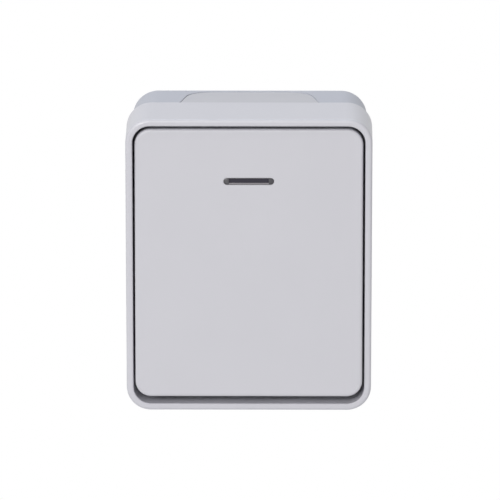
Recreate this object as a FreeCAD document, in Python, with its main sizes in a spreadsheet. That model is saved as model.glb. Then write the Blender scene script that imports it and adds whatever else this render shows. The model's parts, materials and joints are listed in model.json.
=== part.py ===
import FreeCAD, Part
import math
import os
import re
import Sketcher
from FreeCAD import Placement, Rotation, Vector

# Outdoor weatherproof wall switch: a surface box with a sealed front cover and one wide rocker.
# X runs to the right, Z up and Y into the wall. The origin is the middle of the box's back face.
# A level is a distance out from the wall, so a level of 50 lies at Y = -50.

# Driving sizes, in millimetres and degrees
SIZES = [
    ("overall_width", 72.0, "front rim of the cover, side to side"),
    ("overall_height", 87.3, "front rim of the cover, bottom to top"),
    ("overall_depth", 50.0, "wall to the cover's front rim"),
    ("corner_radius", 7.1, "outer corners of the cover's front rim"),
    ("cover_depth", 25.0, "front rim to the skirt's rear edge"),
    ("cover_draft", 1.0, "slope of the cover's outside, wider to the rear, in degrees"),
    ("cover_wall", 2.0, "skirt and rim of the cover"),
    ("rim_round", 0.85, "outer front edge of the rim"),
    ("rim_bevel", 0.2, "inner front edge of the rim"),
    ("skirt_bevel", 0.5, "outer rear edge of the skirt"),
    ("well_depth", 13.5, "front rim to the floor of the rocker's well"),
    ("floor_thickness", 2.0, "floor of the rocker's well"),
    ("cover_step", 0.7, "how far the cover's rim stands proud of the box"),
    ("box_corner", 7.8, "outer corners of the box"),
    ("fit_clearance", 0.2, "skirt over spigot, on each side"),
    ("spigot_wall", 1.6, "front edge of the box, inside the skirt"),
    ("spigot_length", 6.0, "how far the box reaches into the skirt"),
    ("gasket_thickness", 1.5, "seal between box and cover"),
    ("back_wall", 2.4, "wall side of the box"),
    ("back_bevel", 0.8, "outer rear edge of the box"),
    ("fixing_spacing_across", 50.0, "wall screws, side to side"),
    ("fixing_spacing_up", 62.0, "wall screws, bottom to top"),
    ("fixing_hole_radius", 2.25, "wall screw holes"),
    ("fixing_boss_radius", 4.6, "pads round the wall screw holes"),
    ("fixing_boss_height", 2.0, "height of those pads above the back wall"),
    ("entry_rear", 2.4, "wall to the rear edge of the cable entry"),
    ("entry_length", 21.0, "cable entry, from its rear to its front edge"),
    ("entry_rear_width", 35.6, "cable entry at its rear edge"),
    ("entry_front_width", 42.7, "cable entry at its front edge"),
    ("entry_round", 8.5, "rear corners of the cable entry"),
    ("entry_front_round", 3.0, "front corners of the cable entry"),
    ("entry_recess", 1.5, "rebate in the box wall for the entry seal"),
    ("entry_flange", 1.1, "outer flange of the entry seal"),
    ("entry_hole_width", 28.0, "opening in the rebate, side to side"),
    ("entry_hole_length", 12.0, "opening in the rebate, along the depth"),
    ("entry_hole_round", 3.0, "corners of that opening"),
    ("entry_lip", 1.4, "inner lip of the seal beyond the opening"),
    ("entry_lip_thickness", 1.5, "inner lip of the seal"),
    ("entry_collar_radius", 5.4, "collar that grips the cable"),
    ("entry_collar_length", 4.0, "length of that collar"),
    ("entry_cable_radius", 4.0, "bore of that collar"),
    ("entry_membrane", 1.0, "skin that the cable pierces"),
    ("seal_clearance", 0.1, "soft parts in their seats"),
    ("tower_radius", 3.6, "towers for the cover screws"),
    ("tower_gap", 1.2, "towers to the side walls"),
    ("tower_play", 0.3, "towers to the cover's bosses"),
    ("boss_length", 5.0, "screw bosses below the well floor"),
    ("boss_radius", 4.3, "screw bosses below the well floor"),
    ("screw_radius", 1.4, "shank of the cover and frame screws"),
    ("screw_play", 0.3, "screw shank to its clearance hole"),
    ("screw_bite", 0.05, "screw shank to its pilot hole"),
    ("screw_reach", 9.0, "shank below the face that the screw clamps"),
    ("screw_head_radius", 2.7, "head of the cover and frame screws"),
    ("screw_head_height", 2.0, "head of the cover and frame screws"),
    ("screw_slot", 0.8, "driver slot, its width and depth"),
    ("head_play", 0.4, "screw head to its counterbore"),
    ("washer_thickness", 0.8, "sealing washer under a cover screw"),
    ("axis_depth", 11.0, "front rim to the rocker's axis"),
    ("rocker_tilt", 2.0, "rocker to each side of level, in degrees"),
    ("rocker_stand", 0.4, "rocker's face above the rim when level"),
    ("rocker_lift", 0.4, "rocker's middle above its axis"),
    ("rocker_side_gap", 0.65, "rocker to the rim at the sides"),
    ("rocker_end_gap", 1.8, "rocker to the rim at top and bottom, without the lift"),
    ("rocker_corner", 4.6, "corners of the rocker"),
    ("rocker_face", 2.2, "front wall of the rocker"),
    ("rocker_wall", 1.6, "side walls of the rocker"),
    ("rocker_skirt", 9.0, "depth of the rocker's side walls"),
    ("rocker_round", 0.7, "front edge of the rocker"),
    ("rocker_rib", 1.2, "stiffening ribs inside the rocker"),
    ("rocker_rib_depth", 3.0, "height of those ribs"),
    ("rocker_rib_across", 22.0, "long ribs from the middle"),
    ("rocker_rib_up", 18.5, "cross ribs from the middle"),
    ("lens_width", 14.8, "indicator window, side to side"),
    ("lens_height", 2.05, "indicator window, bottom to top"),
    ("lens_up", 24.85, "indicator window above the rocker's axis"),
    ("lens_recess", 0.25, "indicator window below the rocker's face"),
    ("lens_play", 0.03, "indicator window in its slot"),
    ("guide_width", 11.9, "light guide behind the window"),
    ("guide_shoulder", 0.8, "step where the light guide seats in the rocker"),
    ("guide_length", 8.0, "light guide behind the rocker's front wall"),
    ("dolly_width", 24.0, "dolly between its cheeks"),
    ("side_clearance", 0.3, "dolly to each cheek"),
    ("pin_radius", 2.0, "trunnions of the dolly"),
    ("running_clearance", 0.05, "trunnions and plunger in their bores"),
    ("barrel_radius", 3.4, "barrel of the dolly"),
    ("neck_width", 14.0, "neck that carries the rocker, side to side"),
    ("neck_thickness", 5.2, "neck that carries the rocker, bottom to top"),
    ("hook_reach", 0.6, "rocker's hooks under the neck's shoulders"),
    ("hook_height", 0.8, "rocker's hooks"),
    ("hook_play", 0.1, "rocker's hooks to the neck"),
    ("hook_leg", 1.8, "legs of the rocker's hooks"),
    ("hook_lift", 0.6, "rocker's hooks above the boot"),
    ("arm_radius", 3.5, "arm that holds the plunger"),
    ("arm_length", 10.0, "axis to the end of that arm"),
    ("plunger_radius", 2.0, "shank of the plunger"),
    ("plunger_grip", 4.5, "plunger inside the arm"),
    ("spring_length", 4.0, "spring behind the plunger, as fitted"),
    ("spring_wire", 0.5, "wire of that spring, its diameter"),
    ("spring_radius", 1.5, "coil of that spring, at the wire's middle"),
    ("spring_turns", 4.0, "turns of that spring"),
    ("spring_play", 0.1, "that spring's ends to what they bear on"),
    ("boot_width", 34.0, "rubber boot, side to side"),
    ("boot_height", 28.0, "rubber boot, bottom to top"),
    ("boot_corner", 4.0, "corners of the boot"),
    ("boot_skin", 1.0, "wall of the boot"),
    ("boot_flange", 2.5, "flange of the boot on the well floor"),
    ("boot_bead", 1.2, "bead of the boot under the well floor"),
    ("boot_rise", 5.0, "axis to the top of the boot"),
    ("boot_gap", 0.5, "boot's slot round the dolly's neck"),
    ("cheek_thickness", 3.0, "bearing cheeks"),
    ("cheek_width", 10.0, "bearing cheeks, bottom to top"),
    ("cheek_rise", 3.2, "axis to the top of a cheek"),
    ("frame_drop", 8.0, "axis to the front of the bearing frame"),
    ("frame_thickness", 2.5, "plate of the bearing frame"),
    ("frame_width", 36.0, "bearing frame, side to side"),
    ("frame_height", 32.0, "bearing frame, bottom to top"),
    ("frame_corner", 2.0, "corners of the frame and the base"),
    ("frame_hole_width", 10.4, "opening for the dolly's arm, side to side"),
    ("frame_hole_height", 12.4, "opening for the dolly's arm, bottom to top"),
    ("ear_gap", 1.1, "posts of the frame screws to the sides of the base"),
    ("ear_up", 11.5, "frame screws above and below the middle"),
    ("ear_radius", 4.0, "ears of the bearing frame"),
    ("post_radius", 3.4, "posts for the frame screws"),
    ("peg_radius", 1.2, "pegs that join base and frame"),
    ("peg_play", 0.1, "pegs in their holes"),
    ("peg_across", 5.8, "pegs from the middle"),
    ("peg_inset", 2.0, "pegs from the base's upper edge"),
    ("base_height", 15.5, "switch base below the frame"),
    ("chamber_width", 8.4, "contact chamber, side to side"),
    ("chamber_height", 26.0, "contact chamber, bottom to top"),
    ("chamber_depth", 11.0, "contact chamber and terminal pockets"),
    ("terminal_across", 12.0, "terminals from the middle"),
    ("terminal_down", 9.0, "terminal screws below the middle"),
    ("terminal_width", 6.0, "clamping pad of a terminal"),
    ("terminal_length", 8.0, "clamping pad of a terminal, bottom to top"),
    ("terminal_play", 0.4, "terminals in their pockets"),
    ("strip_thickness", 1.0, "brass strip of the terminals"),
    ("strip_width", 4.0, "strip under the contacts"),
    ("tail_width", 2.4, "tail of a strip to the lamp"),
    ("tail_reach", 3.2, "tail beyond the base's upper edge"),
    ("clamp_thickness", 1.2, "clamp plates"),
    ("clamp_width", 5.6, "clamp plates"),
    ("terminal_screw_radius", 1.7, "terminal screws"),
    ("terminal_head_radius", 2.6, "heads of the terminal screws"),
    ("terminal_head_height", 2.2, "heads of the terminal screws"),
    ("terminal_screw_reach", 1.6, "terminal screws below the strip"),
    ("driver_hole_radius", 3.0, "frame holes over the terminal screws"),
    ("fulcrum_height", 5.9, "chamber floor to the knife edge"),
    ("fulcrum_thickness", 1.2, "knife edge under the contact bridge"),
    ("bridge_length", 24.0, "contact bridge"),
    ("bridge_width", 5.0, "contact bridge"),
    ("bridge_thickness", 0.8, "contact bridge"),
    ("bridge_gap", 0.05, "play at the knife edge and closed contacts"),
    ("bridge_tilt", 8.0, "contact bridge to each side of level, in degrees"),
    ("tip_gap", 0.1, "plunger's tip to the level bridge"),
    ("contact_reach", 10.4, "knife edge to the contacts"),
    ("contact_radius", 1.5, "contact rivets"),
    ("contact_height", 0.8, "heads of the contact rivets"),
    ("lamp_shelf_width", 30.0, "shelf for the lamp board"),
    ("lamp_shelf_height", 13.0, "shelf beyond the frame's upper edge"),
    ("board_width", 28.0, "lamp board"),
    ("board_height", 11.0, "lamp board"),
    ("board_thickness", 1.2, "lamp board"),
    ("board_gap", 0.6, "frame's upper edge to the lamp board"),
    ("lamp_width", 3.2, "lamp on its board"),
    ("lamp_height", 2.8, "lamp on its board"),
    ("lamp_thickness", 1.0, "lamp on its board"),
    ("resistor_width", 3.2, "series resistor on the board"),
    ("resistor_height", 1.6, "series resistor on the board"),
    ("resistor_thickness", 0.6, "series resistor on the board"),
    ("resistor_across", 7.0, "series resistor from the middle"),
    ("lead_width", 0.8, "square pins from the board to the strips"),
    ("lead_play", 0.15, "pins in the shelf's holes"),
    ("lead_stand", 0.8, "pins above the board"),
    ("window_width", 14.0, "light window in the well floor"),
    ("window_height", 4.0, "light window in the well floor"),
    ("window_flange", 1.2, "flange of the light window"),
    ("window_flange_thickness", 0.8, "flange of the light window"),
    ("window_corner", 1.5, "corners of the light window"),
    ("pilot_spare", 1.0, "pilot holes beyond the screw tips"),
    ("cut_margin", 1.0, "how far a through cut runs past its wall"),
    ("boot_bevel", 0.6, "front edge of the boot"),
    ("cheek_round", 4.6, "upper corners of the cheeks"),
    ("stop_length", 2.0, "rib that stops the open bridge"),
    ("bridge_corner", 1.2, "corners of the contact bridge"),
    ("tip_bevel", 1.2, "tip of the plunger"),
]

# Places that follow from the driving sizes
PLACES = [
    ("joint_level", "overall_depth - cover_depth"),
    ("spigot_inset", "cover_wall + fit_clearance"),
    ("cavity_inset", "spigot_inset + spigot_wall"),
    ("box_wall", "cavity_inset - cover_step"),
    ("box_top", "overall_height / 2 - cover_step"),
    ("spigot_top", "joint_level + spigot_length"),
    ("gasket_top", "spigot_top + gasket_thickness"),
    ("floor_top", "overall_depth - well_depth"),
    ("floor_bottom", "floor_top - floor_thickness"),
    ("axis_level", "overall_depth - axis_depth"),
    ("tower_across", "overall_width / 2 - cavity_inset - tower_radius - tower_gap"),
    ("boss_bottom", "floor_bottom - boss_length"),
    ("tower_top", "boss_bottom - tower_play"),
    ("cover_seat", "boss_bottom + floor_thickness"),
    ("entry_front", "entry_rear + entry_length"),
    ("entry_middle", "entry_rear + entry_length / 2"),
    ("rocker_width", "overall_width - 2 * cover_wall - 2 * rocker_side_gap"),
    ("rocker_height", "overall_height - 2 * cover_wall - 2 * rocker_end_gap"),
    ("face_level", "overall_depth + rocker_stand"),
    ("inner_face_level", "face_level - rocker_face"),
    ("boot_top", "axis_level + boot_rise"),
    ("hook_level", "boot_top + hook_lift"),
    ("cheek_inside", "dolly_width / 2 + side_clearance"),
    ("cheek_middle", "cheek_inside + cheek_thickness / 2"),
    ("frame_top", "axis_level - frame_drop"),
    ("frame_bottom", "frame_top - frame_thickness"),
    ("ear_across", "frame_width / 2 + ear_gap + post_radius"),
    ("chamber_floor", "frame_bottom - chamber_depth"),
    ("base_bottom", "frame_bottom - base_height"),
    ("strip_top", "chamber_floor + strip_thickness"),
    ("clamp_top", "strip_top + clamp_thickness"),
    ("fulcrum_level", "chamber_floor + fulcrum_height"),
    ("bridge_bottom", "fulcrum_level + bridge_gap"),
    ("bridge_top", "bridge_bottom + bridge_thickness"),
    ("bridge_drop", "contact_reach * sin(bridge_tilt)"),
    ("contact_drop", "(contact_height - bridge_gap) * cos(bridge_tilt)"),
    ("contact_edge_drop", "contact_radius * sin(bridge_tilt)"),
    ("fixed_top", "fulcrum_level - bridge_drop - contact_drop - contact_edge_drop - bridge_gap"),
    ("table_top", "fixed_top - contact_height"),
    ("stop_top", "fulcrum_level - bridge_length / 2 * sin(bridge_tilt) - tip_gap"),
    ("tip_level", "bridge_top + tip_gap"),
    ("arm_end", "axis_level - arm_length"),
    ("plunger_top", "arm_end + plunger_grip"),
    ("bore_end", "plunger_top + spring_length"),
    ("bore_radius", "plunger_radius + running_clearance"),
    ("pilot_radius", "screw_radius + screw_bite"),
    ("tail_top", "frame_height / 2 + tail_reach"),
    ("lead_up", "frame_height / 2 + tail_reach / 2"),
    ("board_middle", "frame_height / 2 + board_gap + board_height / 2"),
    ("board_top", "frame_top + board_thickness"),
]

TOLERANCE = 1e-4

doc = FreeCAD.newDocument("weatherproof_switch")


def make_sheet(name, rows):
    """Writes one row for each value: its alias, the value itself and a note."""
    sheet = doc.addObject("Spreadsheet::Sheet", name)
    for number_of_row, (alias, value, note) in enumerate(rows, start=1):
        sheet.set(f"A{number_of_row}", alias)
        sheet.set(f"B{number_of_row}", value)
        sheet.set(f"C{number_of_row}", note)
        sheet.setAlias(f"B{number_of_row}", alias)
    doc.recompute()
    return sheet


OWNERS = {alias: "Sizes" for alias, value, note in SIZES}
OWNERS.update({alias: "Places" for alias, text in PLACES})


def formula(text):
    """Points each plain name in a formula at its cell."""

    def cell(found):
        word = found.group()
        return f"{OWNERS[word]}.{word}" if word in OWNERS else word

    return re.sub(r"[a-z_]+", cell, text)


sizes = make_sheet("Sizes", [(alias, str(value), note) for alias, value, note in SIZES])
places = make_sheet("Places", [(alias, "=" + formula(text), "") for alias, text in PLACES])


def number(text):
    """The present value of a formula."""
    return float(sizes.evalExpression(formula(text)))


def bind(item, prop, text):
    item.setExpression(prop, formula(text))


# Sketches: every outline is drawn at its present size and then bound to the sheets

def sketch_on(body, role, level="0"):
    """A sketch on one of the body's origin planes, moved along that plane's normal."""
    sketch = body.newObject("Sketcher::SketchObject", body.Label + "_sketch")
    plane = next(item for item in body.Origin.OriginFeatures if item.Role == role)
    sketch.AttachmentSupport = (plane, [""])
    sketch.MapMode = "FlatFace"
    if level != "0":
        bind(sketch, "AttachmentOffset.Base.z", level)
    return sketch


def bound(sketch, kind, *where, text):
    """A dimension that follows a formula."""
    index = sketch.addConstraint(Sketcher.Constraint(kind, *where, number(text)))
    bind(sketch, f"Constraints[{index}]", text)


def fix_point(sketch, geometry, point, across, up):
    """Holds a point at two coordinates, on an axis where a coordinate is zero."""
    for kind, axis, text in (("DistanceX", -2, across), ("DistanceY", -1, up)):
        if text == "0":
            sketch.addConstraint(Sketcher.Constraint("PointOnObject", geometry, point, axis))
        else:
            bound(sketch, kind, -1, 1, geometry, point, text=text)


def add_circle(sketch, radius, across="0", up="0"):
    middle = Vector(number(across), number(up), 0)
    index = sketch.addGeometry(Part.Circle(middle, Vector(0, 0, 1), number(radius)), False)
    bound(sketch, "Radius", index, text=radius)
    fix_point(sketch, index, 3, across, up)


def add_polygon(sketch, points, construction=False):
    """A closed outline of straight edges through points given as pairs of formulas."""
    ends = [Vector(number(across), number(up), 0) for across, up in points]
    count = len(ends)
    lines = []
    for index in range(count):
        side = Part.LineSegment(ends[index], ends[(index + 1) % count])
        lines.append(sketch.addGeometry(side, construction))
    for index in range(count):
        following = lines[(index + 1) % count]
        sketch.addConstraint(Sketcher.Constraint("Coincident", lines[index], 2, following, 1))
    for line, (across, up) in zip(lines, points):
        fix_point(sketch, line, 1, across, up)
    return lines


def add_rectangle(sketch, width, height, across="0", up="0"):
    left, right = f"{across} - ({width}) / 2", f"{across} + ({width}) / 2"
    low, high = f"{up} - ({height}) / 2", f"{up} + ({height}) / 2"
    add_polygon(sketch, [(left, low), (right, low), (right, high), (left, high)])


def add_tangent_loop(sketch, arcs, lines, radii):
    """Joins arcs and lines by turns into one smooth closed outline and sets each arc's radius."""
    for index, arc in enumerate(arcs):
        sketch.addConstraint(Sketcher.Constraint("Tangent", arc, 2, lines[index], 1))
        following = arcs[(index + 1) % len(arcs)]
        sketch.addConstraint(Sketcher.Constraint("Tangent", lines[index], 2, following, 1))
    for arc, radius in zip(arcs, radii):
        bound(sketch, "Radius", arc, text=radius)


def add_rounded_rectangle(sketch, width, height, radius, up="0"):
    """A rectangle with round corners, centred on the sketch's vertical axis."""
    round_off = number(radius)
    reach = number(width) / 2 - round_off
    rise = number(height) / 2 - round_off
    lift = Vector(0, number(up), 0)
    signs = [(1, -1), (1, 1), (-1, 1), (-1, -1)]
    corners = [lift + Vector(across * reach, along * rise, 0) for across, along in signs]
    arcs, lines = [], []
    for index, corner in enumerate(corners):
        start = math.radians(90 * index - 90)
        end = start + math.pi / 2
        ring = Part.Circle(corner, Vector(0, 0, 1), round_off)
        arcs.append(sketch.addGeometry(Part.ArcOfCircle(ring, start, end), False))
        outward = Vector(math.cos(end), math.sin(end), 0) * round_off
        side = Part.LineSegment(corner + outward, corners[(index + 1) % 4] + outward)
        lines.append(sketch.addGeometry(side, False))
    add_tangent_loop(sketch, arcs, lines, [radius] * 4)
    for line, direction in zip(lines, ("Vertical", "Horizontal", "Vertical", "Horizontal")):
        sketch.addConstraint(Sketcher.Constraint(direction, line))
    bound(sketch, "DistanceX", lines[2], 1, lines[0], 1, text=width)
    bound(sketch, "DistanceY", lines[3], 1, lines[1], 1, text=height)
    if up == "0":
        sketch.addConstraint(Sketcher.Constraint("Symmetric", arcs[1], 3, arcs[3], 3, -1, 1))
    else:
        bound(sketch, "DistanceX", -1, 1, arcs[1], 3, text=f"({width}) / 2 - ({radius})")
        bound(sketch, "DistanceY", -1, 1, arcs[1], 3, text=f"{up} + ({height}) / 2 - ({radius})")


def add_slot(sketch, width, height, up):
    """A long hole with full round ends, centred on the sketch's vertical axis."""
    radius = number(height) / 2
    reach = number(width) / 2 - radius
    arcs, lines = [], []
    for side in (1, -1):
        middle = Vector(side * reach, number(up), 0)
        start = math.radians(-90 * side)
        ring = Part.Circle(middle, Vector(0, 0, 1), radius)
        arcs.append(sketch.addGeometry(Part.ArcOfCircle(ring, start, start + math.pi), False))
        edge = Vector(0, side * radius, 0)
        across = Vector(-2 * side * reach, 0, 0)
        lines.append(sketch.addGeometry(Part.LineSegment(middle + edge, middle + edge + across), False))
    add_tangent_loop(sketch, arcs, lines, [f"({height}) / 2"] * 2)
    fix_point(sketch, arcs[0], 3, f"({width}) / 2 - ({height}) / 2", up)
    sketch.addConstraint(Sketcher.Constraint("Symmetric", arcs[0], 3, arcs[1], 3, -2))


def add_rounded_polygon(sketch, points, radii):
    """An outline of straight edges, listed anticlockwise, with a radius for each corner."""
    guides = add_polygon(sketch, points, construction=True)
    corners = [Vector(number(across), number(up), 0) for across, up in points]
    count = len(corners)
    arcs, lines, starts, ends = [], [], [], []
    for index, corner in enumerate(corners):
        round_off = number(radii[index])
        back = (corners[index - 1] - corner).normalize()
        onward = (corners[(index + 1) % count] - corner).normalize()
        half = back.getAngle(onward) / 2
        starts.append(corner + back * (round_off / math.tan(half)))
        ends.append(corner + onward * (round_off / math.tan(half)))
        middle = corner + (back + onward).normalize() * (round_off / math.sin(half))
        first, last = starts[index] - middle, ends[index] - middle
        start_angle = math.atan2(first.y, first.x)
        end_angle = start_angle + first.getAngle(last)
        ring = Part.Circle(middle, Vector(0, 0, 1), round_off)
        arcs.append(sketch.addGeometry(Part.ArcOfCircle(ring, start_angle, end_angle), False))
    for index in range(count):
        side = Part.LineSegment(ends[index], starts[(index + 1) % count])
        lines.append(sketch.addGeometry(side, False))
        for point in (1, 2):
            hold = Sketcher.Constraint("PointOnObject", lines[index], point, guides[index])
            sketch.addConstraint(hold)
    add_tangent_loop(sketch, arcs, lines, radii)


# Sketches parallel to the wall, at a level, with what is drawn on them

def facing(body, level="0"):
    return sketch_on(body, "XZ_Plane", level)


def facing_outline(body, level, *insets):
    """The cover's outline moved in by an even distance, once or as a ring."""
    sketch = facing(body, level)
    for inset in insets:
        width, height = f"overall_width - 2 * ({inset})", f"overall_height - 2 * ({inset})"
        add_rounded_rectangle(sketch, width, height, f"corner_radius - ({inset})")
    return sketch


def facing_rounded(body, level, width, height, radius, up="0"):
    sketch = facing(body, level)
    add_rounded_rectangle(sketch, width, height, radius, up)
    return sketch


def facing_circles(body, level, radius, middles=(("0", "0"),)):
    sketch = facing(body, level)
    for across, up in middles:
        add_circle(sketch, radius, across, up)
    return sketch


def facing_rectangles(body, level, width, height, middles=(("0", "0"),)):
    sketch = facing(body, level)
    for across, up in middles:
        add_rectangle(sketch, width, height, across, up)
    return sketch


# Features

def new_body(label):
    body = doc.addObject("PartDesign::Body", label)
    body.Label = label
    return body


def extrude(body, kind, sketch, length, reverse, symmetric):
    before = body.Shape.Volume if body.Tip else 0.0
    feature = body.newObject("PartDesign::" + kind, f"{body.Label}_{kind.lower()}")
    feature.Profile = sketch
    bind(feature, "Length", length)
    feature.Reversed = reverse
    if symmetric:
        feature.SideType = "Symmetric"
    doc.recompute()
    gained = body.Shape.Volume - before
    if (gained <= 0) if kind == "Pad" else (gained >= 0):
        raise RuntimeError(f"{feature.Label} changed {body.Label} by {gained:.3f} cubic millimetres")
    return feature


def pad(body, sketch, length, reverse=False, symmetric=False):
    """Adds material away from the wall, or towards it when reversed."""
    return extrude(body, "Pad", sketch, length, reverse, symmetric)


def pocket(body, sketch, length, reverse=False, symmetric=False):
    """Cuts towards the wall, or away from it when reversed."""
    return extrude(body, "Pocket", sketch, length, reverse, symmetric)


def dress_edges(body, kind, measure, size, chosen):
    base = body.Tip
    names = [f"Edge{index}" for index, edge in enumerate(base.Shape.Edges, start=1) if chosen(edge)]
    feature = body.newObject("PartDesign::" + kind, f"{body.Label}_{kind.lower()}")
    feature.Base = (base, names)
    bind(feature, measure, size)
    doc.recompute()


def fillet(body, radius, chosen):
    """Rounds the edges of the body's last feature that a test picks."""
    dress_edges(body, "Fillet", "Radius", radius, chosen)


def chamfer(body, size, chosen):
    """Bevels the edges of the body's last feature that a test picks."""
    dress_edges(body, "Chamfer", "Size", size, chosen)


def at_level(edge, level):
    """True for an edge that lies parallel to the wall at a level."""
    return all(abs(-vertex.Y - number(level)) < TOLERANCE for vertex in edge.Vertexes)


def inside_outline(edge, inset):
    """True for an edge that keeps within the cover's outline moved in by a distance."""
    box = edge.BoundBox
    across = number(f"overall_width / 2 - ({inset})") + TOLERANCE
    along = number(f"overall_height / 2 - ({inset})") + TOLERANCE
    return max(-box.XMin, box.XMax) < across and max(-box.ZMin, box.ZMax) < along


def tilt_about(item, level, angle):
    """Turns an item about the X axis that passes through a level."""
    turned = f"rotation(vector(1; 0; 0); {angle})"
    middle = f"vector(0; -({level}); 0)"
    bind(item, "Placement", f"placement(vector(0; 0; 0); {turned}; {middle})")


# Back box: the moulded case on the wall, with a spigot that enters the cover's skirt

TOWERS = [("tower_across", "0"), ("-tower_across", "0")]
EARS = [("-ear_across", "ear_up"), ("ear_across", "-ear_up")]
FIXINGS = [(f"{side} * fixing_spacing_across / 2", f"{end} * fixing_spacing_up / 2")
           for side in ("-1", "1") for end in ("-1", "1")]


def entry_outline(body, level, clearance):
    """The cable entry's trapezium on the box's top face, moved in by a clearance."""
    sketch = sketch_on(body, "XY_Plane", level)
    rear, front = f"-entry_rear - {clearance}", f"-entry_front + {clearance}"
    rear_reach = f"entry_rear_width / 2 - {clearance}"
    front_reach = f"entry_front_width / 2 - {clearance}"
    corners = [(f"-({front_reach})", front), (front_reach, front),
               (rear_reach, rear), (f"-({rear_reach})", rear)]
    front_round, rear_round = f"entry_front_round - {clearance}", f"entry_round - {clearance}"
    add_rounded_polygon(sketch, corners, [front_round, front_round, rear_round, rear_round])
    return sketch


def entry_hole(body, level, growth):
    """The opening below the cable entry, grown by a distance on every side."""
    sketch = sketch_on(body, "XY_Plane", level)
    width, length = f"entry_hole_width + 2 * ({growth})", f"entry_hole_length + 2 * ({growth})"
    add_rounded_rectangle(sketch, width, length, f"entry_hole_round + ({growth})", "-entry_middle")
    return sketch


box = new_body("back_box")
box_size = ["overall_width - 2 * cover_step", "overall_height - 2 * cover_step", "box_corner"]
pad(box, facing_rounded(box, "0", *box_size), "joint_level")
chamfer(box, "back_bevel", lambda edge: at_level(edge, "0"))
pad(box, facing_outline(box, "joint_level", "spigot_inset"), "spigot_length")
pocket(box, facing_outline(box, "spigot_top", "cavity_inset"), "spigot_top - back_wall")
pad(box, facing_circles(box, "back_wall", "tower_radius", TOWERS), "tower_top - back_wall")
pad(box, facing_circles(box, "back_wall", "post_radius", EARS), "frame_bottom - back_wall")
pad(box, facing_circles(box, "back_wall", "fixing_boss_radius", FIXINGS), "fixing_boss_height")
cover_pilot = "tower_top - cover_seat + screw_reach + pilot_spare"
pocket(box, facing_circles(box, "tower_top", "pilot_radius", TOWERS), cover_pilot)
frame_pilot = "screw_reach - frame_thickness + pilot_spare"
pocket(box, facing_circles(box, "frame_bottom", "pilot_radius", EARS), frame_pilot)
fixing_sketch = facing_circles(box, "back_wall + fixing_boss_height", "fixing_hole_radius", FIXINGS)
pocket(box, fixing_sketch, "back_wall + fixing_boss_height + cut_margin")
recess = pocket(box, entry_outline(box, "box_top", "0"), "entry_recess")
opening = pocket(box, entry_hole(box, "box_top", "0"), "box_wall + cut_margin")
lower_entry = box.newObject("PartDesign::Mirrored", "back_box_mirrored")
lower_entry.Originals = [recess, opening]
lower_entry.MirrorPlane = (next(p for p in box.Origin.OriginFeatures if p.Role == "XY_Plane"), [""])
box.Tip = lower_entry
doc.recompute()


# Cable entry seals: soft grommets, each with a skin that a cable is pushed through

def make_entry_seal(label):
    seal = new_body(label)
    pad(seal, entry_outline(seal, "box_top - entry_recess", "seal_clearance"), "entry_flange")
    neck_top = "box_top - entry_recess"
    pad(seal, entry_hole(seal, neck_top, "-seal_clearance"), "box_wall - entry_recess", reverse=True)
    pad(seal, entry_hole(seal, "box_top - box_wall", "entry_lip"), "entry_lip_thickness", reverse=True)
    lip_bottom = "box_top - box_wall - entry_lip_thickness"
    sketch = sketch_on(seal, "XY_Plane", lip_bottom)
    add_circle(sketch, "entry_collar_radius", up="-entry_middle")
    pad(seal, sketch, "entry_collar_length", reverse=True)
    sketch = sketch_on(seal, "XY_Plane", lip_bottom + " - entry_collar_length")
    add_circle(sketch, "entry_cable_radius", up="-entry_middle")
    bore = f"{neck_top} + entry_flange - entry_membrane - ({lip_bottom} - entry_collar_length)"
    pocket(seal, sketch, bore, reverse=True)
    return seal


make_entry_seal("top_entry_seal")
lower_seal = make_entry_seal("bottom_entry_seal")
lower_seal.Placement = Placement(Vector(0, 0, 0), Rotation(Vector(0, 1, 0), 180))


# Box gasket: the rubber ring squeezed between the spigot and the cover's ledge

gasket = new_body("box_gasket")
pad(gasket, facing_outline(gasket, "spigot_top", "spigot_inset", "cavity_inset"), "gasket_thickness")


# Front cover: skirt, rim and the floor of the rocker's well in one moulding

cover = new_body("front_cover")
shell = pad(cover, facing_outline(cover, "overall_depth", "0"), "cover_depth", reverse=True)
bind(shell, "TaperAngle", "cover_draft")
doc.recompute()
fillet(cover, "rim_round", lambda edge: at_level(edge, "overall_depth"))
chamfer(cover, "skirt_bevel", lambda edge: at_level(edge, "joint_level"))
pocket(cover, facing_outline(cover, "overall_depth", "cover_wall"), "well_depth")
chamfer(cover, "rim_bevel",
        lambda edge: at_level(edge, "overall_depth") and inside_outline(edge, "cover_wall"))
skirt_depth = "gasket_top - joint_level"
pocket(cover, facing_outline(cover, "joint_level", "cover_wall"), skirt_depth, reverse=True)
ledge_depth = "floor_bottom - gasket_top"
pocket(cover, facing_outline(cover, "gasket_top", "cavity_inset"), ledge_depth, reverse=True)
pad(cover, facing_circles(cover, "boss_bottom", "boss_radius", TOWERS), "boss_length")
head_room = "screw_head_radius + head_play"
pocket(cover, facing_circles(cover, "floor_top", head_room, TOWERS), "floor_top - cover_seat")
shank_room = "screw_radius + screw_play"
shank_depth = "cover_seat - boss_bottom + cut_margin"
pocket(cover, facing_circles(cover, "cover_seat", shank_room, TOWERS), shank_depth)
through_floor = "floor_thickness + cut_margin"
pocket(cover, facing_rounded(cover, "floor_top", "boot_width", "boot_height", "boot_corner"), through_floor)
window_hole = facing_rounded(cover, "floor_top", "window_width", "window_height", "window_corner", "lens_up")
pocket(cover, window_hole, through_floor)


# Screws: a slotted head and a plain shank, several alike in one group

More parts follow.
